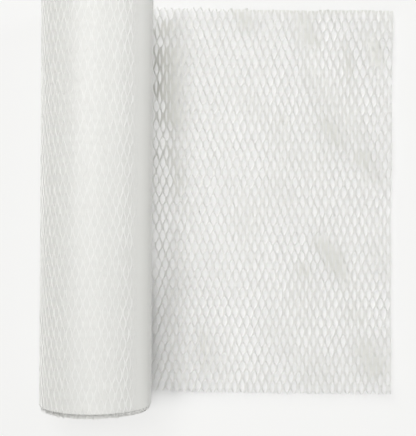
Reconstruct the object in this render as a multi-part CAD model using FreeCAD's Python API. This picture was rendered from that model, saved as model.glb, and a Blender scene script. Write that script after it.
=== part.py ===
import FreeCAD, Part
import math
import os

# Roll of slit ("honeycomb") wrapping paper, lying on its side with its free
# end drawn out flat over the ground.
#
# Frame, millimetres: origin on the ground under the roll's axis, at the
# middle of the web's width. +Y runs along the roll's axis, +X points the way
# the free end is drawn out, +Z is up. The ground is Z = 0.

V = FreeCAD.Vector

# ---------------------------------------------------------------- dimensions
WEB_WIDTH = 300.0        # width of the paper web, along the roll's axis
ROLL_R = 41.5            # outer radius of the wound turns
FLAT_WIDTH = 16.0        # soft roll: width of the flat spot it lies on
CORE_BORE_R = 19.0       # paperboard core, inside radius
CORE_WALL = 2.0          # paperboard core, wall
TURN_DRIFT = 3.0         # the inner turns stand out this far at the -Y end
DRIFT_TURNS_R = 4.5      # radial depth over which the drift builds up
SHEET_T = 4.4            # height of the opened web where it lies flat
FREE_END_X = 228.0       # the cut end of the free sheet
SHEET_SHIFT = 2.2        # the free sheet has wandered this far towards +Y

CELL_PITCH_X = 5.86      # one cell to the next along the web
CELL_PITCH_Y = 14.5      # one cell to the next across the web
CELL_OPEN_X = 4.8        # clear width of a cell
CELL_OPEN_Y = 9.4        # clear length of a cell, point to point
CELL_SHOULDER = 0.24     # half length of a cell's parallel sides / CELL_OPEN_Y
FIRST_CELL_X = 26.0      # cells start clear of the wound turns
EDGE_LAND = 0.45         # least paper left between a cell and a cut edge

PANEL_COLUMNS = 8        # columns of cells in one panel of the sheet

CORE_R = CORE_BORE_R + CORE_WALL
AXIS_Z = math.sqrt(ROLL_R ** 2 - (FLAT_WIDTH / 2.0) ** 2)
HALF_W = WEB_WIDTH / 2.0
SHEET_Y = (-HALF_W + SHEET_SHIFT, HALF_W + SHEET_SHIFT)


# ------------------------------------------------------------ paperboard core
# Wound with the inner turns, so it shares their small drift towards -Y.
def core_tube():
    y0 = -HALF_W - TURN_DRIFT
    outer = Part.makeCylinder(CORE_R, WEB_WIDTH, V(0, y0, AXIS_Z), V(0, 1, 0))
    inner = Part.makeCylinder(CORE_BORE_R, WEB_WIDTH, V(0, y0, AXIS_Z),
                              V(0, 1, 0))
    return outer.cut(inner)


# ---------------------------------------------------------------- wound turns
# One body of revolution about the roll's axis. The last turns wound on have
# crept towards +Y, so the end faces are dished: the inner turns stand out at
# the -Y end and sit back by the same amount at the +Y end. The flat spot is
# cut off at the ground.
def wound_turns():
    r_step = ROLL_R - DRIFT_TURNS_R
    profile = [
        (CORE_R, -HALF_W - TURN_DRIFT),
        (r_step, -HALF_W - TURN_DRIFT),
        (ROLL_R, -HALF_W),
        (ROLL_R, HALF_W),
        (r_step, HALF_W - TURN_DRIFT),
        (CORE_R, HALF_W - TURN_DRIFT),
    ]
    pts = [V(r, y, AXIS_Z) for r, y in profile]
    wire = Part.makePolygon(pts + [pts[0]])
    body = Part.Face(wire).revolve(V(0, 0, AXIS_Z), V(0, 1, 0), 360.0)
    if body.ShapeType != "Solid":
        body = Part.Solid(Part.Shell(body.Faces))
    below = Part.makeBox(4 * ROLL_R, 2 * WEB_WIDTH, 20.0,
                         V(-2 * ROLL_R, -WEB_WIDTH, -20.0))
    return body.cut(below)


# ----------------------------------------------------------------- free sheet
# The slit web is pulled open, so it carries long pointed cells in staggered
# columns, their long axis across the web. The knife has cut the side edges
# and the free end straight through cells, which leaves notches along them.
def cell_outline(cx, cy):
    hx = CELL_OPEN_X / 2.0
    hy = CELL_OPEN_Y / 2.0
    sh = CELL_SHOULDER * CELL_OPEN_Y
    return [(cx, cy - hy), (cx + hx, cy - sh), (cx + hx, cy + sh),
            (cx, cy + hy), (cx - hx, cy + sh), (cx - hx, cy - sh)]


def clip(poly, axis, limit, keep_below):
    out = []
    n = len(poly)
    for i in range(n):
        a, b = poly[i], poly[(i + 1) % n]
        ia = (a[axis] <= limit) if keep_below else (a[axis] >= limit)
        ib = (b[axis] <= limit) if keep_below else (b[axis] >= limit)
        if ia:
            out.append(a)
        if ia != ib:
            t = (limit - a[axis]) / (b[axis] - a[axis])
            out.append((a[0] + t * (b[0] - a[0]), a[1] + t * (b[1] - a[1])))
    # a corner that lies on the limit comes out twice
    return [p for i, p in enumerate(out)
            if math.hypot(p[0] - out[i - 1][0], p[1] - out[i - 1][1]) > 1e-7]


def panel_outline(x_lo, x_hi, notches):
    """Outline of one panel, counter-clockwise, with the cut cells as notches.
    notches: side -> list of cell outlines clipped to the panel."""
    (y_lo, y_hi) = SHEET_Y

    def path_along(poly, axis, limit, rising):
        # the notch's outline from one crossing of the edge to the other
        n = len(poly)
        on = [i for i in range(n) if abs(poly[i][axis] - limit) < 1e-9]
        a, b = on[0], on[-1]
        if b - a == 1:
            path = [poly[(b + i) % n] for i in range(n)]
        else:
            path = poly[a:b + 1]
        other = 1 - axis
        if (path[0][other] < path[-1][other]) != rising:
            path = path[::-1]
        return path

    out = []
    sides = (("lo", 1, y_lo, True), ("right", 0, x_hi, True),
             ("hi", 1, y_hi, False), ("left", 0, x_lo, False))
    corner = {"lo": (x_lo, y_lo), "right": (x_hi, y_lo),
              "hi": (x_hi, y_hi), "left": (x_lo, y_hi)}
    for side, axis, limit, rising in sides:
        out.append(corner[side])
        other = 1 - axis
        polys = sorted(notches.get(side, []),
                       key=lambda p: sum(q[other] for q in p) / len(p),
                       reverse=not rising)
        for poly in polys:
            out += path_along(poly, axis, limit, rising)
    return out


def free_sheet():
    """The sheet as a row of panels side by side. Each panel ends on the
    centre line of a column of cells, so the panels meet land to land."""
    y_lo, y_hi = SHEET_Y
    hx, hy = CELL_OPEN_X / 2.0, CELL_OPEN_Y / 2.0
    step = CELL_PITCH_X / 2.0
    columns = int((FREE_END_X - FIRST_CELL_X) / step) + 1
    cuts = [FREE_END_X - step * k for k in range(0, columns, PANEL_COLUMNS)]
    if FREE_END_X - step * (columns - 1) - cuts[-1] > -2 * step:
        cuts = cuts[:-1]
    cuts = sorted(cuts)
    x_ends = [1.0] + cuts
    panels = []
    count = 0
    for x_lo, x_hi in zip(x_ends[:-1], x_ends[1:]):
        holes, notches = [], {"lo": [], "hi": [], "left": [], "right": []}
        for column in range(columns):
            cx = FREE_END_X - step * column
            if cx < x_lo - 1e-6 or cx > x_hi + 1e-6:
                continue
            left = abs(cx - x_lo) < 1e-6
            right = abs(cx - x_hi) < 1e-6
            phase = 0.5 * CELL_PITCH_Y if column % 2 else 0.0
            n = int(WEB_WIDTH / CELL_PITCH_Y) + 3
            for k in range(-n, n + 1):
                cy = SHEET_SHIFT + 1.9 + phase + k * CELL_PITCH_Y
                if cy + hy <= y_lo + 2 * EDGE_LAND:
                    continue
                if cy - hy >= y_hi - 2 * EDGE_LAND:
                    continue
                poly = cell_outline(cx, cy)
                at_lo = cy - hy < y_lo + EDGE_LAND
                at_hi = cy + hy > y_hi - EDGE_LAND
                if (left or right) and (at_lo or at_hi):
                    continue          # panel corners stay whole
                if at_lo and cy - hy >= y_lo:
                    continue
                if at_hi and cy + hy <= y_hi:
                    continue
                count += not left
                if left:
                    notches["left"].append(clip(poly, 0, x_lo, False))
                elif right:
                    notches["right"].append(clip(poly, 0, x_hi, True))
                elif at_lo:
                    notches["lo"].append(clip(poly, 1, y_lo, False))
                elif at_hi:
                    notches["hi"].append(clip(poly, 1, y_hi, True))
                else:
                    holes.append(poly)
        outline = panel_outline(x_lo, x_hi, notches)

        def wire(points):
            vs = [V(x, y, 0) for x, y in points]
            return Part.makePolygon(vs + [vs[0]])

        # the holes run the other way round from the outline
        face = Part.Face([wire(outline)] + [wire(h[::-1]) for h in holes])
        panels.append(face.extrude(V(0, 0, SHEET_T)))
    print("free sheet: %d cells in %d panels" % (count, len(panels)))
    return panels


# ------------------------------------------------------------------- assembly
def honeycomb_web():
    web = wound_turns().multiFuse(free_sheet())
    if len(web.Solids) != 1:
        raise RuntimeError("the web is not one solid: %d" % len(web.Solids))
    return web.Solids[0]


os.makedirs("parts", exist_ok=True)
for name, shape in (("core_tube", core_tube()),
                    ("honeycomb_web", honeycomb_web())):
    if shape.ShapeType != "Solid" and len(shape.Solids) == 1:
        shape = shape.Solids[0]
    print(name, "solids", len(shape.Solids), "faces", len(shape.Faces),
          "volume_mm3", round(shape.Volume, 1),
          "box", [round(v, 2) for v in (shape.BoundBox.XMin,
                                        shape.BoundBox.XMax,
                                        shape.BoundBox.YMin,
                                        shape.BoundBox.YMax,
                                        shape.BoundBox.ZMin,
                                        shape.BoundBox.ZMax)])
    shape.exportStep("parts/%s.step" % name)
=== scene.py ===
import math

import bpy
import numpy as np
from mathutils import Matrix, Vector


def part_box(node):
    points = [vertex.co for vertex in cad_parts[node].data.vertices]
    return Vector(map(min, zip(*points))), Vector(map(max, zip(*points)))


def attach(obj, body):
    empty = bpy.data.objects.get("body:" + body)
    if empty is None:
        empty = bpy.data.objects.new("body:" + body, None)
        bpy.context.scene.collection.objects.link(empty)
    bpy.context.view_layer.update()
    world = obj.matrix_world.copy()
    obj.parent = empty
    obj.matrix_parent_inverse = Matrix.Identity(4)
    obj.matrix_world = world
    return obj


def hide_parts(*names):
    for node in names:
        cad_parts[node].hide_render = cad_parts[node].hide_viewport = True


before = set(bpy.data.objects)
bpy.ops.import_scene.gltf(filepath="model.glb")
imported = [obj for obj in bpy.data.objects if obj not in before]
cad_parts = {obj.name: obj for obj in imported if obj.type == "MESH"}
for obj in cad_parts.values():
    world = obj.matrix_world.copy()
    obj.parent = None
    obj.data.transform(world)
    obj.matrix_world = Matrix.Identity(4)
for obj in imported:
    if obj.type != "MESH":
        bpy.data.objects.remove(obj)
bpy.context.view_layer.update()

# Lengths are worked out in millimetres and turned into metres when a mesh is
# made. The row frame: origin on the ground under the roll's axis, +Y along the
# axis, +X towards the free end, +Z up.

web_lo, web_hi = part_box("honeycomb_web")
core_lo, core_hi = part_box("core_tube")
R_OUT = -web_lo.x * 1000.0                       # outer radius of the turns
AXIS_Z = (core_lo.z + core_hi.z) / 2 * 1000.0    # height of the roll's axis
CORE_R = core_hi.x * 1000.0                      # outside of the core
FREE_X = web_hi.x * 1000.0                       # the cut end
HALF_W = (core_hi.y - core_lo.y) / 2 * 1000.0    # half the web's width
DRIFT = HALF_W + core_lo.y * 1000.0              # about -3: inner turns' shift

# ---------------------------------------------------------------- the lattice
STRIP = 2.25          # width of the strips between two rows of slits
PITCH_SHEET = 2.93    # strip to strip along the web where it is drawn out
PITCH_ROLL = 2.635    # and where it is still wound
CELL_Y = 14.5         # one cell to the next across the web
NODE = 2.6            # length of the uncut bridge between two slits
PAPER = 0.10          # thickness of the paper
STEPS = 4             # mesh steps in a cell wall


def fourier(seed, n, low, high):
    """A smooth random field of two variables with values about -1 to 1 and
    wavelengths from low to high, the same each run."""
    r = np.random.default_rng(seed)
    lam = low * (high / low) ** r.random(n)
    ang = r.random(n) * math.pi
    ph = r.random(n) * 2 * math.pi
    amp = (lam / high) ** 0.4
    amp = amp / math.sqrt(float((amp ** 2).sum()) / 2) * 0.5
    kx, ky = np.cos(ang) * 2 * math.pi / lam, np.sin(ang) * 2 * math.pi / lam

    def f(x, y):
        out = np.zeros(np.broadcast(x, y).shape)
        for a, u, v, p in zip(amp, kx, ky, ph):
            out += a * np.sin(u * x + v * y + p)
        return out
    return f


def smooth(x, a, b):
    t = np.clip((x - a) / (b - a), 0, 1)
    return t * t * (3 - 2 * t)


# ------------------------------------------------- how the free sheet lies
SLANT = (math.cos(math.radians(-56)), math.sin(math.radians(-56)))


def ridge(x, y, x0, y0, half, length, deg, height):
    """A soft crease: a bump across, fading out along its length."""
    c, s = math.cos(math.radians(deg)), math.sin(math.radians(deg))
    u = (x - x0) * c + (y - y0) * s
    v = -(x - x0) * s + (y - y0) * c
    return height * np.exp(-(v / half) ** 2) * np.exp(-(u / length) ** 4)


# x, y, half width, half length, direction in degrees, height
RIDGES = [
    (196, 48, 9, 48, -56, 3.6),
    (212, 20, 8, 40, -60, -2.4),
    (186, -50, 12, 42, -52, 3.0),
    (205, -70, 10, 34, -58, -2.6),
    (150, 118, 10, 40, -66, 3.2),
    (172, 112, 9, 34, -62, -2.6),
    (112, 140, 12, 22, -58, 2.4),
    (205, 112, 9, 34, -70, 3.4),
    (222, 100, 7, 34, -76, -2.2),
    (125, 60, 14, 70, -60, 1.6),
    (150, -10, 15, 80, -60, 1.5),
    (120, -60, 16, 70, -64, 1.4),
    (160, -125, 16, 60, -30, 2.2),
    (205, -128, 13, 44, -48, 2.6),
    (92, 30, 14, 90, -84, 1.8),
    (84, -90, 14, 60, -88, 1.2),
    (56, 96, 10, 62, -88, 3.4),
    (52, -100, 12, 60, -90, 5.0),
]
big_wave = fourier(11, 7, 70, 190)
mid_wave = fourier(12, 12, 24, 60)
fine_wave = fourier(13, 16, 9, 22)

# patches where the opened cells have been pressed nearly flat again
PRESSED = [
    (111, 144, 9, 10, -56, 1.0),
    (163, 131, 7, 18, -68, 1.0),
    (157, 144, 11, 7, -30, 0.85),
    (193, 111, 5, 20, -80, 0.90),
    (214, 121, 7, 12, -70, 0.95),
    (180, 56, 6, 20, -56, 0.95),
    (209, 28, 8, 21, -52, 0.80),
    (140, 69, 6, 10, -60, 0.70),
    (182, -44, 9, 25, -54, 1.0),
    (158, -52, 6, 9, -60, 0.75),
    (211, -122, 10, 20, -62, 0.95),
    (197, -86, 8, 20, -56, 0.55),
    (82, -113, 6, 18, -82, 0.75),
    (52, 94, 11, 52, -86, 1.0),
    (57, 30, 9, 40, -80, 0.62),
]
broken = fourier(34, 22, 8, 26)
haze_wave = fourier(35, 14, 22, 70)


def pressed(x, y):
    w = np.zeros(np.broadcast(x, y).shape)
    for x0, y0, a, b, deg, k in PRESSED:
        c, s = math.cos(math.radians(deg)), math.sin(math.radians(deg))
        u = (x - x0) * c + (y - y0) * s
        v = -(x - x0) * s + (y - y0) * c
        w = np.maximum(w, k * np.exp(-((v / a) ** 2 + (u / b) ** 2)))
    w = smooth(w + 0.26 * broken(x, y), 0.16, 0.88)
    edge = 0.85 * np.exp(-((y - HALF_W - 0.6) / 2.4) ** 2) * smooth(x, 96, 112)
    # streaks of narrower cells, slanting the way the creases do
    u = x * SLANT[0] + y * SLANT[1]
    v = -x * SLANT[1] + y * SLANT[0]
    haze = 0.29 * smooth(haze_wave(u * 0.45, v) * 1.5, -0.1, 1.1) \
        * smooth(x, 84, 120)
    return np.maximum(np.maximum(w, edge), haze)


def lift(x, y):
    """Height of the sheet's underside above the ground."""
    h = 1.6 * (1 + big_wave(x, y)) * 0.8 + 0.55 * mid_wave(x, y) \
        + 0.18 * fine_wave(x, y)
    for r in RIDGES:
        h = h + 0.6 * ridge(x, y, *r)
    h = h + 1.6 * smooth(x, 196, 230)
    h = 1.0 * np.logaddexp(0, (h + 0.3) / 1.0)     # never below the ground
    return h * smooth(x, 24, 46) + 0.03


def sheet_shift(x):
    return 1.0 + 2.0 * np.exp(-np.maximum(x - 40, 0) / 50)


# --------------------------------------------------- the turns on the roll
# The turns are wound tight enough to sit in one another's cells, so that only
# the crests of the outer turn stand proud, a little less than a millimetre
# above the paper of the turns beneath.
WOUND = 2.0           # how much of a strip stays free of the turn beneath
PROUD = 0.62          # height the pressed strips keep above that turn
ARCH = 0.50           # half the width of a strip pressed into an arch
TURN = 1.15           # from one inner turn to the next


def strip_of(theta):
    """Width of a strip, as far as it is free, by winding angle."""
    t = np.degrees(theta)
    a = STRIP + (WOUND - STRIP) * smooth(t, 2, 24)
    return a + (STRIP - WOUND) * smooth(t, 715, 750)


def tilt_of(theta):
    """How steeply the strips stand, in degrees, by winding angle."""
    t = np.degrees(theta)
    a = PRESSED_TILT + (77 - PRESSED_TILT) * smooth(t, 2, 30)
    a = a + (60 - 77) * smooth(t, 340, 390)
    a = a + (15 - 60) * smooth(t, 715, 750)
    return np.radians(a)


def half_thick(theta):
    return strip_of(theta) * np.sin(tilt_of(theta))


PRESSED_TILT = 20.0
UNDER = STRIP * math.sin(math.radians(PRESSED_TILT))   # half the pressed web
CREST = PROUD
SKIN = R_OUT + 0.05


def outer_mid(deg):
    """Middle radius of the outer turn."""
    start = R_OUT - UNDER
    end = AXIS_Z - 2 * UNDER - CREST - 0.05
    r = start + (SKIN - CREST - start) * smooth(deg, 0, 30)
    k = smooth(deg, 270, 360)
    return r * (1 - k) + end * k


def body_radius(deg):
    """Radius of the turns beneath the outer one, all round."""
    base = outer_mid(deg) + 0.05
    low = outer_mid(np.array(360.0)) + 0.05
    k = smooth(deg, 6, 60)
    return low + (base - low) * k


D_TH = math.radians(1.0)
theta = np.arange(0, 22 * 360) * D_TH
turn_deg = np.degrees(theta)
local = turn_deg % 360.0
body_mean = float(body_radius(np.arange(0.0, 360.0)).mean())
offset = -0.05 - 0.42 * smooth(turn_deg, 362, 400) \
    - 0.70 * smooth(turn_deg, 700, 760) \
    - TURN * np.maximum(turn_deg - 740, 0) / 360.0
depth_k = np.clip((body_mean + offset - CORE_R) / (body_mean - CORE_R), 0, 1)
r_mid = body_mean + (body_radius(local) - body_mean) * depth_k + offset
r_mid[:361] = outer_mid(turn_deg[:361])
last = int(np.argmax(r_mid < CORE_R + 0.75))
theta, r_mid, depth_k, local = (theta[:last], r_mid[:last], depth_k[:last],
                                local[:last])


def squeezed(r, ang, k=1.0):
    """The soft roll's flat spot: the turns are pressed up at the bottom."""
    off = (ang + math.pi) % (2 * math.pi) - math.pi
    sq = np.minimum(1.0, (AXIS_Z / R_OUT) / np.maximum(np.cos(off), 0.2))
    return r * (1 + (sq - 1) * k)


r_shape = squeezed(r_mid, theta, depth_k)
path_x = -r_shape * np.sin(theta)
path_z = AXIS_Z - r_shape * np.cos(theta)
seg = np.hypot(np.diff(path_x), np.diff(path_z))
path_s = np.concatenate([[0], np.cumsum(seg)])
tx, tz = np.gradient(path_x, path_s), np.gradient(path_z, path_s)
norm = np.hypot(tx, tz)
tx, tz = tx / norm, tz / norm
# outward side: the tangent turned so that at the top it points up
ox, oz = -tz, tx
S_END = path_s[-1]


def turns_at(s):
    return np.interp(s, path_s, theta)


roll_s_noise = fourier(21, 14, 16, 60)
roll_y_noise = fourier(22, 12, 18, 60)
roll_tilt_noise = fourier(23, 26, 6, 26)
roll_r_noise = fourier(24, 10, 24, 90)
sheet_s_noise = fourier(31, 14, 14, 60)
sheet_y_noise = fourier(32, 12, 16, 60)
tilt_noise = fourier(33, 30, 5, 22)


def place(s, m, y):
    """Web coordinates to the row frame: s along the web, counted from where
    it leaves the ground under the roll, m the distance out of the web's middle
    surface, on the side that ends up outside on the roll, y across."""
    flat = s < 0
    ss = np.maximum(s, 0)
    cx = np.interp(ss, path_s, path_x)
    cz = np.interp(ss, path_s, path_z)
    nx = np.interp(ss, path_s, ox)
    nz = np.interp(ss, path_s, oz)
    ny = np.zeros_like(nx)
    # free sheet
    x = np.where(flat, -s, 0.0)
    e = 0.4
    t = sheet_half(x)
    z0 = lift(x, y)
    gx = (lift(x + e, y) - lift(x - e, y)) / (2 * e) \
        + (sheet_half(x + e) - sheet_half(x - e)) / (2 * e)
    gy = (lift(x, y + e) - lift(x, y - e)) / (2 * e)
    n = np.sqrt(gx ** 2 + gy ** 2 + 1)
    bow = (1.0 + 0.4 * (1 - (y / HALF_W) ** 2)) * smooth(x, 60, FREE_X)
    cx = np.where(flat, x - bow, cx)
    cz = np.where(flat, z0 + t, cz)
    nx = np.where(flat, gx / n, nx)
    ny = np.where(flat, gy / n, ny)
    nz = np.where(flat, -1 / n, nz)
    out = np.stack([cx + m * nx, y + m * ny, cz + m * nz], -1)
    out[..., 2] = np.maximum(out[..., 2], 0.02)
    return out


def sheet_tilt(x, y):
    a = 63 - 50 * pressed(x, y)
    a = a + 4.0 * tilt_noise(x, y)
    under = smooth(x, 14, 40)
    return np.radians(PRESSED_TILT + (a - PRESSED_TILT) * under)


def sheet_half(x):
    return STRIP * np.sin(np.radians(PRESSED_TILT
                                     + (63 - PRESSED_TILT) * smooth(x, 14, 40)))


def pitch_at(s):
    x = -s
    return np.where(s > -36, PITCH_ROLL,
                    PITCH_ROLL + (PITCH_SHEET - PITCH_ROLL) * smooth(x, 36, 74))


# strip centres along the whole web, from the cut end to the core
centres = [-FREE_X + 1.2]
while centres[-1] < S_END - 4:
    s = centres[-1]
    centres.append(s + float(pitch_at(np.array(s + 1.4))))
centres = np.array(centres)
N_STRIPS = len(centres)


def lattice_rows(y_lo, y_hi):
    """The v grid with its wave w: nodes at +1 and -1, walls between."""
    hp = CELL_Y / 2
    ramp = hp - NODE
    offs = [(-NODE / 2, 1.0), (NODE / 2, 1.0)]
    for i in range(1, STEPS):
        t = i / STEPS
        sm = t * t * (3 - 2 * t)
        offs.append((NODE / 2 + ramp * t, 1 - 2 * (0.5 * t + 0.5 * sm)))
    v, w = [], []
    k0 = int(math.floor((y_lo - 20) / hp))
    k1 = int(math.ceil((y_hi + 20) / hp))
    for k in range(k0, k1):
        sign = 1.0 if k % 2 == 0 else -1.0
        for o, a in offs:
            v.append(k * hp + o)
            w.append(sign * a)
    v, w = np.array(v), np.array(w)
    order = np.argsort(v)
    return v[order], w[order]


def web_mesh(j0, j1, ends=None, depth=None):
    """Strips j0 to j1 of the web as a thin closed mesh. With ends, only the
    stretch within depth of the roll's ends is made."""
    js = np.arange(j0, j1)
    v, w = lattice_rows(-HALF_W - 6, HALF_W + 6)
    nk = len(v)
    sc = centres[js]
    pitch_e = np.empty(len(js) + 1)
    full = np.concatenate([[centres[0] - PITCH_SHEET], centres,
                           [centres[-1] + PITCH_ROLL]])
    pitch_e[:] = full[j0 + 1:j1 + 2] - full[j0:j1 + 1]
    edge_s = full[j0:j1 + 1] + pitch_e / 2
    th = turns_at(np.maximum(edge_s, 0))
    flat = edge_s < 0
    S, Vv = np.meshgrid(edge_s, v, indexing="ij")
    X = np.maximum(-S, 0)
    shift = np.where(flat, sheet_shift(-edge_s), 0)
    turn_shift = 1.0 + (DRIFT - 0.0 - 1.0) * smooth(np.degrees(th), 250, 900)
    shift = np.where(flat, shift, np.where(th < 1.6,
                     3.0 + (0.0 - 3.0) * smooth(np.degrees(th), 0, 90),
                     turn_shift - 1.0))
    Y0 = Vv + shift[:, None]
    tilt_flat = sheet_tilt(X, Y0)
    tilt_roll = tilt_of(th)[:, None] \
        + np.radians(5.0) * roll_tilt_noise(S, Y0) \
        * (smooth(np.degrees(th), 20, 50) * (1 - smooth(np.degrees(th), 290, 340))
           )[:, None]
    phi = np.where(flat[:, None], tilt_flat, tilt_roll)
    dy = np.where(flat[:, None], 0.35 * sheet_y_noise(S, Vv),
                  0.30 * roll_y_noise(S, Vv))
    ds = np.where(flat[:, None], 0.42 * sheet_s_noise(S, Vv),
                  0.22 * roll_s_noise(S, Vv))
    fade = smooth(-edge_s, -6, 6)[:, None]
    dr = (1 - fade) * 0.10 * roll_r_noise(S, Vv)
    wide = np.where(flat, STRIP, strip_of(th))[:, None]
    c = wide / 2 * np.cos(phi)
    b = wide / 2 * np.sin(phi)
    a = pitch_e[:, None] / 2 - c
    if j0 == 0:                       # the free end was cut off straight
        a[0] = 0.0
        ds[0] *= 0.35
    sgn = np.where(js % 2 == 0, 1.0, -1.0)[:, None]
    W = w[None, :]
    # right side of strip j uses edge j+1, left side uses edge j
    s_r = sc[:, None] + sgn * a[1:] * W + c[1:] + ds[1:]
    m_r = -sgn * b[1:] * W + b[1:] + dr[1:]
    s_l = sc[:, None] + sgn * a[:-1] * W - c[:-1] + ds[:-1]
    m_l = -sgn * b[:-1] * W - b[:-1] + dr[:-1]
    # winding presses the crests down to one height
    top = np.where(flat, 99.0, np.where(np.degrees(th) > 735, 99.0,
                                        np.where(np.degrees(th) < 20, 99.0,
                                                 0.3)))[1:, None]
    low = m_r > top
    part = np.clip((top - m_l) / np.maximum(m_r - m_l, 1e-6), 0, 1)
    s_r = np.where(low, s_l + (s_r - s_l) * part, s_r)
    m_r = np.where(low, top, m_r)
    yy = Vv + dy + shift[:, None]
    y_r, y_l = yy[1:], yy[:-1]
    # where the knife cut the web's two edges
    rr = np.random.default_rng(500 + j0)
    ragged = 0.25 * rr.standard_normal((len(js), 2))
    cut_lo = -HALF_W + shift[1:] + ragged[:, 0]
    cut_hi = HALF_W + shift[1:] + ragged[:, 1]
    y_r = np.clip(y_r, cut_lo[:, None], cut_hi[:, None])
    y_l = np.clip(y_l, cut_lo[:, None], cut_hi[:, None])
    keep = (0.5 * (yy[1:, 1:] + yy[1:, :-1]) > cut_lo[:, None]) & \
           (0.5 * (yy[1:, 1:] + yy[1:, :-1]) < cut_hi[:, None])
    if ends is not None:
        mid = 0.5 * (Vv[1:, 1:] + Vv[1:, :-1])
        keep &= (mid < -HALF_W + depth) | (mid > HALF_W - depth)
    PR = place(s_r, m_r, y_r)
    PL = place(s_l, m_l, y_l)
    nj = len(js)
    # vertex numbers: left and right of each strip, shared at the nodes
    idx_r = np.arange(nj * nk).reshape(nj, nk)
    idx_l = idx_r + nj * nk
    node = (sgn * W) > 0.999          # strip j joins j+1 here
    share = node[:-1]
    idx_l[1:][share] = idx_r[:-1][share]
    P = np.concatenate([PR.reshape(-1, 3), PL.reshape(-1, 3)])
    jj, kk = np.nonzero(keep)
    quads = np.stack([idx_l[jj, kk], idx_r[jj, kk],
                      idx_r[jj, kk + 1], idx_l[jj, kk + 1]], -1)
    used, inv = np.unique(quads, return_inverse=True)
    P = P[used]
    quads = inv.reshape(-1, 4)
    return thicken(P, quads, PAPER)


def arch_at(th, y, which):
    """Half width and height of the arched strips, by winding angle. They lie
    flat and closed along the upper part of the side towards the sheet."""
    t = np.degrees(th)
    shut = smooth(t, 228, 241) * (1 - smooth(t, 250, 263))
    soft = np.exp(-((t - 165) / 18.0) ** 4)
    if which == "half":
        return ARCH - 0.04 * soft + (1.60 - ARCH) * shut
    if which == "lean":
        upper = np.exp(-((t - 184) / 24.0) ** 4)
        return 0.84 - 0.12 * upper - 0.20 * shut
    side = 0.50 + 0.50 * smooth(t, 100, 140)
    low_side = 1 - 0.45 * smooth(t, 262, 300)
    flat_top = np.exp(-((t - 177) / 27.0) ** 4)
    sunk = (0.45 * smooth(t, 192, 206) + 0.55 * smooth(t, 220, 238)) \
        * (1 - smooth(t, 250, 268))
    return PROUD * (1 - 0.56 * flat_top) * side * low_side * (1 - sunk)


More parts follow.
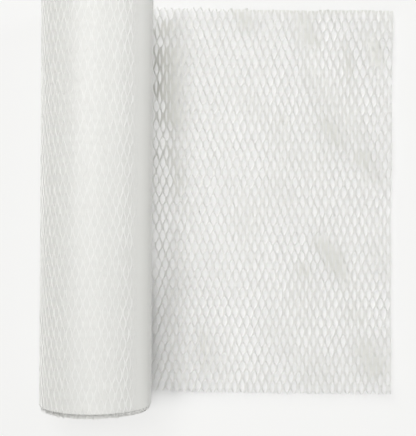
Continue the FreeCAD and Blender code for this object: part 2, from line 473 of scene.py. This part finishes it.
def arched_mesh(j0, j1):
    """The outer turn: each strip pressed into a low arch over the turns
    beneath, touching its neighbours at the nodes. One closed prism a strip."""
    js = np.arange(j0, j1)
    v, w = lattice_rows(-HALF_W - 6, HALF_W + 6)
    nk = len(v)
    sc = centres[js]
    full = np.concatenate([[centres[0] - PITCH_SHEET], centres,
                           [centres[-1] + PITCH_ROLL]])
    pitch_e = full[j0 + 1:j1 + 2] - full[j0:j1 + 1]
    edge_s = full[j0:j1 + 1] + pitch_e / 2
    th = turns_at(np.maximum(edge_s, 0))
    deg = np.degrees(th)
    S, Vv = np.meshgrid(edge_s, v, indexing="ij")
    turn_shift = 1.0 + (DRIFT - 1.0) * smooth(deg, 250, 900)
    shift = np.where(th < 1.6, 3.0 - 3.0 * smooth(deg, 0, 90),
                     turn_shift - 1.0)
    Y0 = Vv + shift[:, None]
    dy = 0.45 * roll_y_noise(S, Vv)
    ds = 0.30 * roll_s_noise(S, Vv)
    half = arch_at(th, None, "half")[:, None] \
        * (1 + 0.18 * roll_tilt_noise(S * 0.9 + 30, Y0))
    closed = (smooth(deg, 228, 241) * (1 - smooth(deg, 250, 263)))[:, None]
    half = np.minimum(half, pitch_e[:, None] / 2 - 0.02 + 0.40 * closed)
    a = np.maximum(pitch_e[:, None] / 2 - half, 0.0)
    sgn = np.where(js % 2 == 0, 1.0, -1.0)[:, None]
    W = w[None, :]
    s_r = sc[:, None] + sgn * a[1:] * W + half[1:] + ds[1:] + 0.02
    s_l = sc[:, None] + sgn * a[:-1] * W - half[:-1] + ds[:-1] - 0.02
    mid_s = 0.5 * (S[1:] + S[:-1])
    mid_y = 0.5 * (Y0[1:] + Y0[:-1])
    high = 0.5 * (arch_at(th, None, "high")[1:] + arch_at(th, None,
                                                          "high")[:-1])
    high = high[:, None] * (1 + 0.24 * roll_tilt_noise(mid_s, mid_y)
                            + 0.05 * roll_r_noise(mid_s, mid_y))
    high = np.minimum(high, PROUD * 1.04)
    lean = arch_at(th, None, "lean")[1:, None]
    low = np.full_like(s_r, -0.12)
    yy = Vv + dy + shift[:, None]
    y_r, y_l = yy[1:], yy[:-1]
    rr = np.random.default_rng(500 + j0)
    ragged = 0.25 * rr.standard_normal((len(js), 2))
    cut_lo = -HALF_W + shift[1:] + ragged[:, 0]
    cut_hi = HALF_W + shift[1:] + ragged[:, 1]
    y_r = np.clip(y_r, cut_lo[:, None], cut_hi[:, None])
    y_l = np.clip(y_l, cut_lo[:, None], cut_hi[:, None])
    ring = [(s_l, low, y_l),
            (s_l + 0.42 * (s_r - s_l), 0.66 * high, 0.58 * y_l + 0.42 * y_r),
            (s_l + lean * (s_r - s_l), high, (1 - lean) * y_l + lean * y_r),
            (s_r, low, y_r)]
    P = np.stack([place(s, m, y) for s, m, y in ring], 2)    # strip,row,4,xyz
    nj = len(js)
    mid = 0.5 * (yy[1:, 1:] + yy[1:, :-1])
    keep = (mid > cut_lo[:, None]) & (mid < cut_hi[:, None])
    idx = np.arange(nj * nk * 4).reshape(nj, nk, 4)
    faces = []
    jj, kk = np.nonzero(keep)
    for c in range(4):
        c2 = (c + 1) % 4
        faces.append(np.stack([idx[jj, kk, c], idx[jj, kk, c2],
                               idx[jj, kk + 1, c2], idx[jj, kk + 1, c]], -1))
    first = keep.argmax(axis=1)
    stop = nk - 1 - keep[:, ::-1].argmax(axis=1)
    j = np.arange(nj)
    faces.append(idx[j, first][:, ::-1])
    faces.append(idx[j, stop])
    quads = np.concatenate(faces)
    used, inv = np.unique(quads, return_inverse=True)
    return P.reshape(-1, 3)[used], inv.reshape(-1, 4)


def thicken(P, quads, t):
    """A closed shell of thickness t round a surface of quads."""
    d1 = P[quads[:, 2]] - P[quads[:, 0]]
    d2 = P[quads[:, 3]] - P[quads[:, 1]]
    fn = np.cross(d1, d2)
    vn = np.zeros_like(P)
    for c in range(4):
        np.add.at(vn, quads[:, c], fn)
    vn /= np.maximum(np.linalg.norm(vn, axis=1, keepdims=True), 1e-12)
    n = len(P)
    verts = np.concatenate([P + vn * t / 2, P - vn * t / 2])
    top = quads
    bottom = quads[:, ::-1] + n
    e = np.concatenate([quads[:, [i, (i + 1) % 4]] for i in range(4)])
    key = np.sort(e, axis=1)
    code = key[:, 0] * n + key[:, 1]
    uniq, first_at, count = np.unique(code, return_index=True,
                                      return_counts=True)
    rim = e[first_at[count == 1]]
    side = np.stack([rim[:, 1], rim[:, 0], rim[:, 0] + n, rim[:, 1] + n], -1)
    return verts, np.concatenate([top, bottom, side])


def make_object(name, verts_mm, faces, material, sharp=35, body="root"):
    me = bpy.data.meshes.new(name)
    verts = np.asarray(verts_mm, np.float32) * 0.001
    faces = np.asarray(faces, np.int32)
    nv, nf, k = len(verts), len(faces), faces.shape[1]
    me.vertices.add(nv)
    me.vertices.foreach_set("co", verts.ravel())
    me.loops.add(nf * k)
    me.loops.foreach_set("vertex_index", faces.ravel())
    me.polygons.add(nf)
    me.polygons.foreach_set("loop_start", np.arange(nf, dtype=np.int32) * k)
    me.update(calc_edges=True)
    me.validate()
    me.materials.append(material)
    ob = bpy.data.objects.new(name, me)
    bpy.context.scene.collection.objects.link(ob)
    me.polygons.foreach_set("use_smooth", np.ones(len(me.polygons), bool))
    me.set_sharp_from_angle(angle=math.radians(sharp))
    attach(ob, body)
    return ob


# ------------------------------------------------------------------ materials
def new_material(name):
    m = bpy.data.materials.new(name)
    m.use_nodes = True
    m.node_tree.nodes.clear()
    return m, m.node_tree.nodes, m.node_tree.links


def paper_material(name, base, through, rough_lo=0.62, rough_hi=0.82,
                   gloss=0.35, closed_cell_shade=False, shoulder_painted_light=False):
    m, N, L = new_material(name)
    out = N.new("ShaderNodeOutputMaterial")
    mix = N.new("ShaderNodeMixShader")
    pr = N.new("ShaderNodeBsdfPrincipled")
    tr = N.new("ShaderNodeBsdfTranslucent")
    tc = N.new("ShaderNodeTexCoord")
    # cloudy formation of the sheet: faint light and dark flocks
    flock = N.new("ShaderNodeTexNoise")
    flock.inputs["Scale"].default_value = 260.0
    flock.inputs["Detail"].default_value = 5.0
    flock.inputs["Roughness"].default_value = 0.6
    ramp = N.new("ShaderNodeValToRGB")
    ramp.color_ramp.elements[0].position = 0.30
    ramp.color_ramp.elements[1].position = 0.72
    lo = [c * 0.955 for c in base]
    hi = [min(1.0, c * 1.02) for c in base]
    ramp.color_ramp.elements[0].color = (*lo, 1)
    ramp.color_ramp.elements[1].color = (*hi, 1)
    # fibres: stretched noise for a fine bump
    mp = N.new("ShaderNodeMapping")
    mp.inputs["Scale"].default_value = (1400.0, 5200.0, 3200.0)
    fib = N.new("ShaderNodeTexNoise")
    fib.inputs["Scale"].default_value = 1.0
    fib.inputs["Detail"].default_value = 4.0
    fib.inputs["Distortion"].default_value = 0.8
    bump = N.new("ShaderNodeBump")
    bump.inputs["Strength"].default_value = 0.22
    bump.inputs["Distance"].default_value = 0.00012
    rough = N.new("ShaderNodeMapRange")
    rough.inputs["To Min"].default_value = rough_lo
    rough.inputs["To Max"].default_value = rough_hi
    L.new(tc.outputs["Object"], flock.inputs["Vector"])
    L.new(tc.outputs["Object"], mp.inputs["Vector"])
    L.new(mp.outputs["Vector"], fib.inputs["Vector"])
    L.new(flock.outputs["Fac"], ramp.inputs["Fac"])
    L.new(fib.outputs["Fac"], bump.inputs["Height"])
    L.new(fib.outputs["Fac"], rough.inputs["Value"])
    L.new(rough.outputs["Result"], pr.inputs["Roughness"])
    if closed_cell_shade:
        # where the cells are pressed shut the strips lie over one another: less
        # light comes through, and the base colour is greyed there as a painted
        # shade for that loss of light
        att = N.new("ShaderNodeAttribute")
        att.attribute_name = "closed"
        painted_shade = N.new("ShaderNodeMix")
        painted_shade.data_type = "RGBA"
        painted_shade.blend_type = "MULTIPLY"
        painted_shade.inputs[7].default_value = (0.865, 0.865, 0.835, 1)
        L.new(att.outputs["Fac"], painted_shade.inputs[0])
        L.new(ramp.outputs["Color"], painted_shade.inputs[6])
        L.new(painted_shade.outputs[2], pr.inputs["Base Color"])
        less = N.new("ShaderNodeMapRange")
        less.inputs["To Min"].default_value = through
        less.inputs["To Max"].default_value = through * 0.45
        L.new(att.outputs["Fac"], less.inputs["Value"])
        L.new(less.outputs["Result"], mix.inputs["Fac"])
    elif shoulder_painted_light:
        # towards the sheet the strips lie over one another like shingles and the
        # bare turn beneath is
        # no longer seen: there the base colour is made lighter, which takes away
        # the painted shade of the cell floors and paints light onto that upper
        # side of the roll
        parts_ = N.new("ShaderNodeSeparateXYZ")
        L.new(tc.outputs["Object"], parts_.inputs["Vector"])
        side = N.new("ShaderNodeMapRange")
        side.interpolation_type = "SMOOTHSTEP"
        side.inputs["From Min"].default_value = 0.025
        side.inputs["From Max"].default_value = 0.036
        L.new(parts_.outputs["X"], side.inputs["Value"])
        above = N.new("ShaderNodeMapRange")
        above.interpolation_type = "SMOOTHSTEP"
        above.inputs["From Min"].default_value = 0.043
        above.inputs["From Max"].default_value = 0.055
        L.new(parts_.outputs["Z"], above.inputs["Value"])
        shoulder = N.new("ShaderNodeMath")
        shoulder.operation = "MULTIPLY"
        L.new(side.outputs["Result"], shoulder.inputs[0])
        L.new(above.outputs["Result"], shoulder.inputs[1])
        light = N.new("ShaderNodeMix")
        light.data_type = "RGBA"
        light.inputs[7].default_value = (0.875, 0.875, 0.846, 1)
        L.new(shoulder.outputs["Value"], light.inputs[0])
        L.new(ramp.outputs["Color"], light.inputs[6])
        L.new(light.outputs[2], pr.inputs["Base Color"])
        mix.inputs["Fac"].default_value = through
    else:
        L.new(ramp.outputs["Color"], pr.inputs["Base Color"])
        mix.inputs["Fac"].default_value = through
    L.new(bump.outputs["Normal"], pr.inputs["Normal"])
    pr.inputs["Specular IOR Level"].default_value = gloss
    tr.inputs["Color"].default_value = (*[min(1.0, c * 1.02) for c in base], 1)
    L.new(pr.outputs["BSDF"], mix.inputs[1])
    L.new(tr.outputs["BSDF"], mix.inputs[2])
    L.new(mix.outputs["Shader"], out.inputs["Surface"])
    return m


def board_material():
    m, N, L = new_material("core_board")
    out = N.new("ShaderNodeOutputMaterial")
    pr = N.new("ShaderNodeBsdfPrincipled")
    tc = N.new("ShaderNodeTexCoord")
    flock = N.new("ShaderNodeTexNoise")
    flock.inputs["Scale"].default_value = 90.0
    flock.inputs["Detail"].default_value = 6.0
    ramp = N.new("ShaderNodeValToRGB")
    ramp.color_ramp.elements[0].position = 0.25
    ramp.color_ramp.elements[1].position = 0.75
    ramp.color_ramp.elements[0].color = (0.30, 0.215, 0.135, 1)
    ramp.color_ramp.elements[1].color = (0.47, 0.36, 0.245, 1)

    def calc(op, a, b=0.0):
        n = N.new("ShaderNodeMath")
        n.operation = op
        for k, v in enumerate((a, b)):
            if hasattr(v, "default_value"):
                L.new(v, n.inputs[k])
            else:
                n.inputs[k].default_value = v
        return n.outputs[0]

    # the lap between two turns of the board strip runs round the tube as a
    # spiral, and the plies show as rings on its end walls
    pos = N.new("ShaderNodeSeparateXYZ")
    L.new(tc.outputs["Object"], pos.inputs["Vector"])
    px, py = pos.outputs["X"], pos.outputs["Y"]
    pz = calc("SUBTRACT", pos.outputs["Z"], AXIS_Z / 1000.0)
    turn = calc("MULTIPLY", calc("ARCTAN2", px, pz), 1 / (2 * math.pi))
    lap = calc("FRACT", calc("ADD", turn, calc("MULTIPLY", py, 1 / 0.052)))
    seam = calc("GREATER_THAN", lap, 0.985)
    rad = calc("SQRT", calc("ADD", calc("MULTIPLY", px, px),
                            calc("MULTIPLY", pz, pz)))
    ply = calc("PINGPONG", calc("MULTIPLY", rad, 1 / 0.0005), 1.0)
    dark = calc("MAXIMUM", calc("MULTIPLY", seam, 0.8),
                calc("MULTIPLY", ply, 0.45))
    lines = N.new("ShaderNodeMix")
    lines.data_type = "RGBA"
    lines.blend_type = "MULTIPLY"
    lines.inputs[7].default_value = (0.60, 0.56, 0.52, 1)
    L.new(dark, lines.inputs[0])
    speck = N.new("ShaderNodeTexNoise")
    speck.inputs["Scale"].default_value = 2600.0
    speck.inputs["Detail"].default_value = 3.0
    bump = N.new("ShaderNodeBump")
    bump.inputs["Strength"].default_value = 0.35
    bump.inputs["Distance"].default_value = 0.0003
    L.new(tc.outputs["Object"], flock.inputs["Vector"])
    L.new(tc.outputs["Object"], speck.inputs["Vector"])
    L.new(flock.outputs["Fac"], ramp.inputs["Fac"])
    L.new(ramp.outputs["Color"], lines.inputs[6])
    L.new(lines.outputs[2], pr.inputs["Base Color"])
    L.new(calc("SUBTRACT", speck.outputs["Fac"], seam), bump.inputs["Height"])
    L.new(bump.outputs["Normal"], pr.inputs["Normal"])
    pr.inputs["Roughness"].default_value = 0.85
    pr.inputs["Specular IOR Level"].default_value = 0.3
    L.new(pr.outputs["BSDF"], out.inputs["Surface"])
    return m


PAPER_RGB = (0.950, 0.950, 0.940)
# the turns beneath are darker than the outer turn's paper: painted shade for the
# deep floors of the cells
SHADED_INNER_RGB = (0.78, 0.78, 0.752)
paper = paper_material("white_paper", PAPER_RGB, 0.74, closed_cell_shade=True)
wound_paper = paper_material("white_paper_wound", (0.845, 0.845, 0.821), 0.0,
                             0.40, 0.52, 0.6)
body_paper = paper_material("white_paper_inner_shaded", SHADED_INNER_RGB, 0.0,
                            0.40, 0.52, 0.6, shoulder_painted_light=True)
board = board_material()

# ---------------------------------------------------------------- the pieces
n_sheet = int(np.searchsorted(centres, 0.0))
s_turn1 = float(np.interp(2 * math.pi, theta, path_s))
s_turn2 = float(np.interp(4 * math.pi, theta, path_s))
n_one = int(np.searchsorted(centres, s_turn1))
n_two = int(np.searchsorted(centres, s_turn2))

pieces = []
v_, f_ = web_mesh(0, n_sheet)
sheet_ob = make_object("web_free_sheet", v_, f_, paper)
# how far the cells are pressed shut; white_paper greys its colour by this, a
# painted shade
fold = sheet_ob.data.attributes.new("closed", "FLOAT", "POINT")
fold.data.foreach_set("value", pressed(v_[:, 0] + 1.0, v_[:, 1])
                      .astype(np.float32))
v_, f_ = arched_mesh(n_sheet, n_one)
turn_ob = make_object("web_outer_turn", v_, f_, wound_paper, sharp=80)
v_, f_ = web_mesh(n_one, n_two, ends=True, depth=7.5)
second_ob = make_object("web_second_turn", v_, f_, wound_paper)
v_, f_ = web_mesh(n_two, N_STRIPS - 1, ends=True, depth=7.5)
inner_ob = make_object("web_inner_turns", v_, f_, paper)


def wound_body():
    """The paper of the turns under the outer one, with both ends sunk."""
    n = 240
    ang = np.arange(n) * 2 * math.pi / n
    r_body = body_radius(np.degrees(ang))
    y0, y1 = -HALF_W - 0.2, HALF_W - 1.4
    spec = [(None, y0 + 5.0), (-0.45, y0 + 5.0), (-0.45, y0), (0.0, y0)]
    spec += [(0.0, y0 + (y1 - y0) * t) for t in np.linspace(0, 1, 60)[1:-1]]
    spec += [(0.0, y1), (-0.45, y1), (-0.45, y1 - 5.6), (None, y1 - 5.6)]
    P = []
    for off, y in spec:
        if off is None:
            r, k = np.full(n, CORE_R + 0.05), 0.0
        else:
            r, k = r_body + off, 1.0
        rr = squeezed(r, ang, k)
        P.append(np.stack([-rr * np.sin(ang), np.full(n, y),
                           AXIS_Z - rr * np.cos(ang)], -1))
    P = np.concatenate(P)
    m = len(spec)
    F = []
    i = np.arange(n)
    i2 = (i + 1) % n
    for k in range(m):
        k2 = (k + 1) % m
        F.append(np.stack([k * n + i, k * n + i2, k2 * n + i2, k2 * n + i],
                          -1))
    return P, np.concatenate(F)


v_, f_ = wound_body()
drum_ob = make_object("web_wound_body", v_, f_, body_paper)

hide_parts("honeycomb_web")

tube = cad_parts["core_tube"]
tube.data.materials.clear()
tube.data.materials.append(board)

# ---------------------------------------------------------------- the stage
# the floor glows as well as reflecting, its share of glow set by place: outside
# the footprint mostly glow, painted light that fills the shadows round the
# object; under it mostly plain reflection, least glow in the near half beside the
# roll
fm, N, L = new_material("ground_white")
out = N.new("ShaderNodeOutputMaterial")
mixf = N.new("ShaderNodeMixShader")
dif = N.new("ShaderNodeBsdfDiffuse")
emi = N.new("ShaderNodeEmission")
geo = N.new("ShaderNodeNewGeometry")
sep = N.new("ShaderNodeSeparateXYZ")
L.new(geo.outputs["Position"], sep.inputs["Vector"])


def away(axis, mid, half):
    """How far a point of the floor is outside the object's footprint."""
    sub = N.new("ShaderNodeMath")
    sub.operation = "SUBTRACT"
    L.new(sep.outputs[axis], sub.inputs[0])
    sub.inputs[1].default_value = mid
    ab = N.new("ShaderNodeMath")
    ab.operation = "ABSOLUTE"
    L.new(sub.outputs[0], ab.inputs[0])
    d = N.new("ShaderNodeMath")
    d.operation = "SUBTRACT"
    L.new(ab.outputs[0], d.inputs[0])
    d.inputs[1].default_value = half
    return d


dx = away("X", (web_lo.x + web_hi.x) / 2, (web_hi.x - web_lo.x) / 2)
dy_ = away("Y", (web_lo.y + web_hi.y) / 2, (web_hi.y - web_lo.y) / 2)
far = N.new("ShaderNodeMath")
far.operation = "MAXIMUM"
L.new(dx.outputs[0], far.inputs[0])
L.new(dy_.outputs[0], far.inputs[1])
fade = N.new("ShaderNodeMapRange")
fade.interpolation_type = "SMOOTHSTEP"
fade.inputs["From Min"].default_value = -0.012
fade.inputs["From Max"].default_value = 0.012
near = N.new("ShaderNodeMapRange")
near.interpolation_type = "SMOOTHSTEP"
near.inputs["From Min"].default_value = 0.045
near.inputs["From Max"].default_value = 0.095
near.inputs["To Min"].default_value = 0.27
near.inputs["To Max"].default_value = 0.29
L.new(sep.outputs["X"], near.inputs["Value"])
shade = N.new("ShaderNodeMapRange")
shade.interpolation_type = "SMOOTHSTEP"
shade.inputs["From Min"].default_value = -0.13
shade.inputs["From Max"].default_value = -0.01
shade.inputs["To Min"].default_value = -0.42
shade.inputs["To Max"].default_value = 0.0
L.new(sep.outputs["Y"], shade.inputs["Value"])
beside = N.new("ShaderNodeMapRange")
beside.interpolation_type = "SMOOTHSTEP"
beside.inputs["From Min"].default_value = 0.055
beside.inputs["From Max"].default_value = 0.10
beside.inputs["To Min"].default_value = 1.0
beside.inputs["To Max"].default_value = 0.0
L.new(sep.outputs["X"], beside.inputs["Value"])
both = N.new("ShaderNodeMath")
both.operation = "MULTIPLY_ADD"
L.new(shade.outputs["Result"], both.inputs[0])
L.new(beside.outputs["Result"], both.inputs[1])
L.new(near.outputs["Result"], both.inputs[2])
# a little more glow in the nip right beside the roll, painted light, and less in
# the next cells, painted shade
along = N.new("ShaderNodeMath")
along.operation = "MULTIPLY"
along.inputs[1].default_value = 5.0
L.new(sep.outputs["X"], along.inputs[0])
nip = N.new("ShaderNodeValToRGB")
for place_, tone in zip((0.0, 1.0), (0.5, 0.5)):
    e_ = nip.color_ramp.elements[0 if place_ == 0.0 else 1]
    e_.position = place_
    e_.color = (tone, tone, tone, 1)
for place_, tone in ((0.19, 0.5), (0.215, 0.65), (0.24, 0.63), (0.29, 0.35),
                     (0.40, 0.34), (0.51, 0.5)):
    e_ = nip.color_ramp.elements.new(place_)
    e_.color = (tone, tone, tone, 1)
L.new(along.outputs["Value"], nip.inputs["Fac"])
less_mid = N.new("ShaderNodeMath")
less_mid.operation = "SUBTRACT"
less_mid.inputs[1].default_value = 0.5
L.new(nip.outputs["Color"], less_mid.inputs[0])
total = N.new("ShaderNodeMath")
total.operation = "ADD"
L.new(both.outputs["Value"], total.inputs[0])
L.new(less_mid.outputs["Value"], total.inputs[1])
L.new(total.outputs["Value"], fade.inputs["To Min"])
fade.inputs["To Max"].default_value = 0.80
L.new(far.outputs[0], fade.inputs["Value"])
dif.inputs["Color"].default_value = (0.865, 0.865, 0.865, 1)
emi.inputs["Color"].default_value = (1.0, 1.0, 0.985, 1)
emi.inputs["Strength"].default_value = 0.935
L.new(fade.outputs["Result"], mixf.inputs["Fac"])
L.new(dif.outputs["BSDF"], mixf.inputs[1])
L.new(emi.outputs["Emission"], mixf.inputs[2])
L.new(mixf.outputs["Shader"], out.inputs["Surface"])
ground_mesh = bpy.data.meshes.new("ground")
g = 24.0
ground_mesh.from_pydata([(-g, -g, 0), (g, -g, 0), (g, g, 0), (-g, g, 0)], [],
                        [(0, 1, 2, 3)])
ground = bpy.data.objects.new("ground", ground_mesh)
ground_mesh.materials.append(fm)
bpy.context.scene.collection.objects.link(ground)

world = bpy.data.worlds.new("studio")
bpy.context.scene.world = world
world.use_nodes = True
bg = world.node_tree.nodes["Background"]
WN, WL = world.node_tree.nodes, world.node_tree.links
w_tc = WN.new("ShaderNodeTexCoord")
w_sep = WN.new("ShaderNodeSeparateXYZ")
w_ramp = WN.new("ShaderNodeValToRGB")
WL.new(w_tc.outputs["Generated"], w_sep.inputs["Vector"])
WL.new(w_sep.outputs["Z"], w_ramp.inputs["Fac"])
WL.new(w_ramp.outputs["Color"], bg.inputs["Color"])
for place_, tone in zip((0.0, 1.0), (0.95, 0.16)):
    e_ = w_ramp.color_ramp.elements[0 if place_ == 0.0 else 1]
    e_.position = place_
    e_.color = (tone, tone, tone * 0.985, 1)
for place_, tone in ((0.03, 0.95), (0.06, 0.28), (0.14, 0.107)):
    e_ = w_ramp.color_ramp.elements.new(place_)
    e_.color = (tone, tone, tone * 0.985, 1)
bg.inputs["Strength"].default_value = 0.90


def area_light(name, loc, target, size, power, colour=(1, 1, 1)):
    data = bpy.data.lights.new(name, "AREA")
    data.shape = "DISK"
    data.size = size
    data.energy = power
    data.color = colour
    ob = bpy.data.objects.new(name, data)
    bpy.context.scene.collection.objects.link(ob)
    from mathutils import Vector
    d = Vector(target) - Vector(loc)
    ob.location = loc
    ob.rotation_mode = "QUATERNION"
    ob.rotation_quaternion = d.to_track_quat("-Z", "Y")
    return ob


# six soft boxes round the table, as angles across and along the roll
REACH = 2.3
SOFT_BOXES = [
    ("box_left", -25, 13, 11.2),
    ("box_top", -2, 14, 11.6),
    ("box_far_left", -16, 44, 12.6),
    ("box_right", 46, 24, 10.8),
    ("box_near", 0, -25, 6.4),
    ("box_front", 0, -62, 6.6),
]
for lamp, across, along, power in SOFT_BOXES:
    ux, uy = math.tan(math.radians(across)), math.tan(math.radians(along))
    un = math.sqrt(1 + ux * ux + uy * uy)
    area_light(lamp, (0.06 + REACH * ux / un, REACH * uy / un, REACH / un),
               (0.06, 0.0, 0.0), 0.8, power)

cam_data = bpy.data.cameras.new("camera")
cam = bpy.data.objects.new("camera", cam_data)
bpy.context.scene.collection.objects.link(cam)
cam_data.lens = 942.0 * 36.0 / 436.0
cam_data.sensor_width = 36.0
cam.location = (0.083, -0.012, 0.741)
cam.rotation_euler = (0.0, 0.0, 0.0058)
cam_data.clip_start = 0.01
cam_data.clip_end = 50.0
bpy.context.scene.camera = cam

bpy.context.scene.view_settings.view_transform = "Standard"
bpy.context.scene.view_settings.look = "None"
bpy.context.scene.view_settings.exposure = 0.0
bpy.context.scene.view_settings.gamma = 1.0

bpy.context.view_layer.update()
for ob in (sheet_ob, turn_ob, second_ob, inner_ob, drum_ob):
    ob.data.calc_loop_triangles()
    print("TRI", ob.name, len(ob.data.loop_triangles))
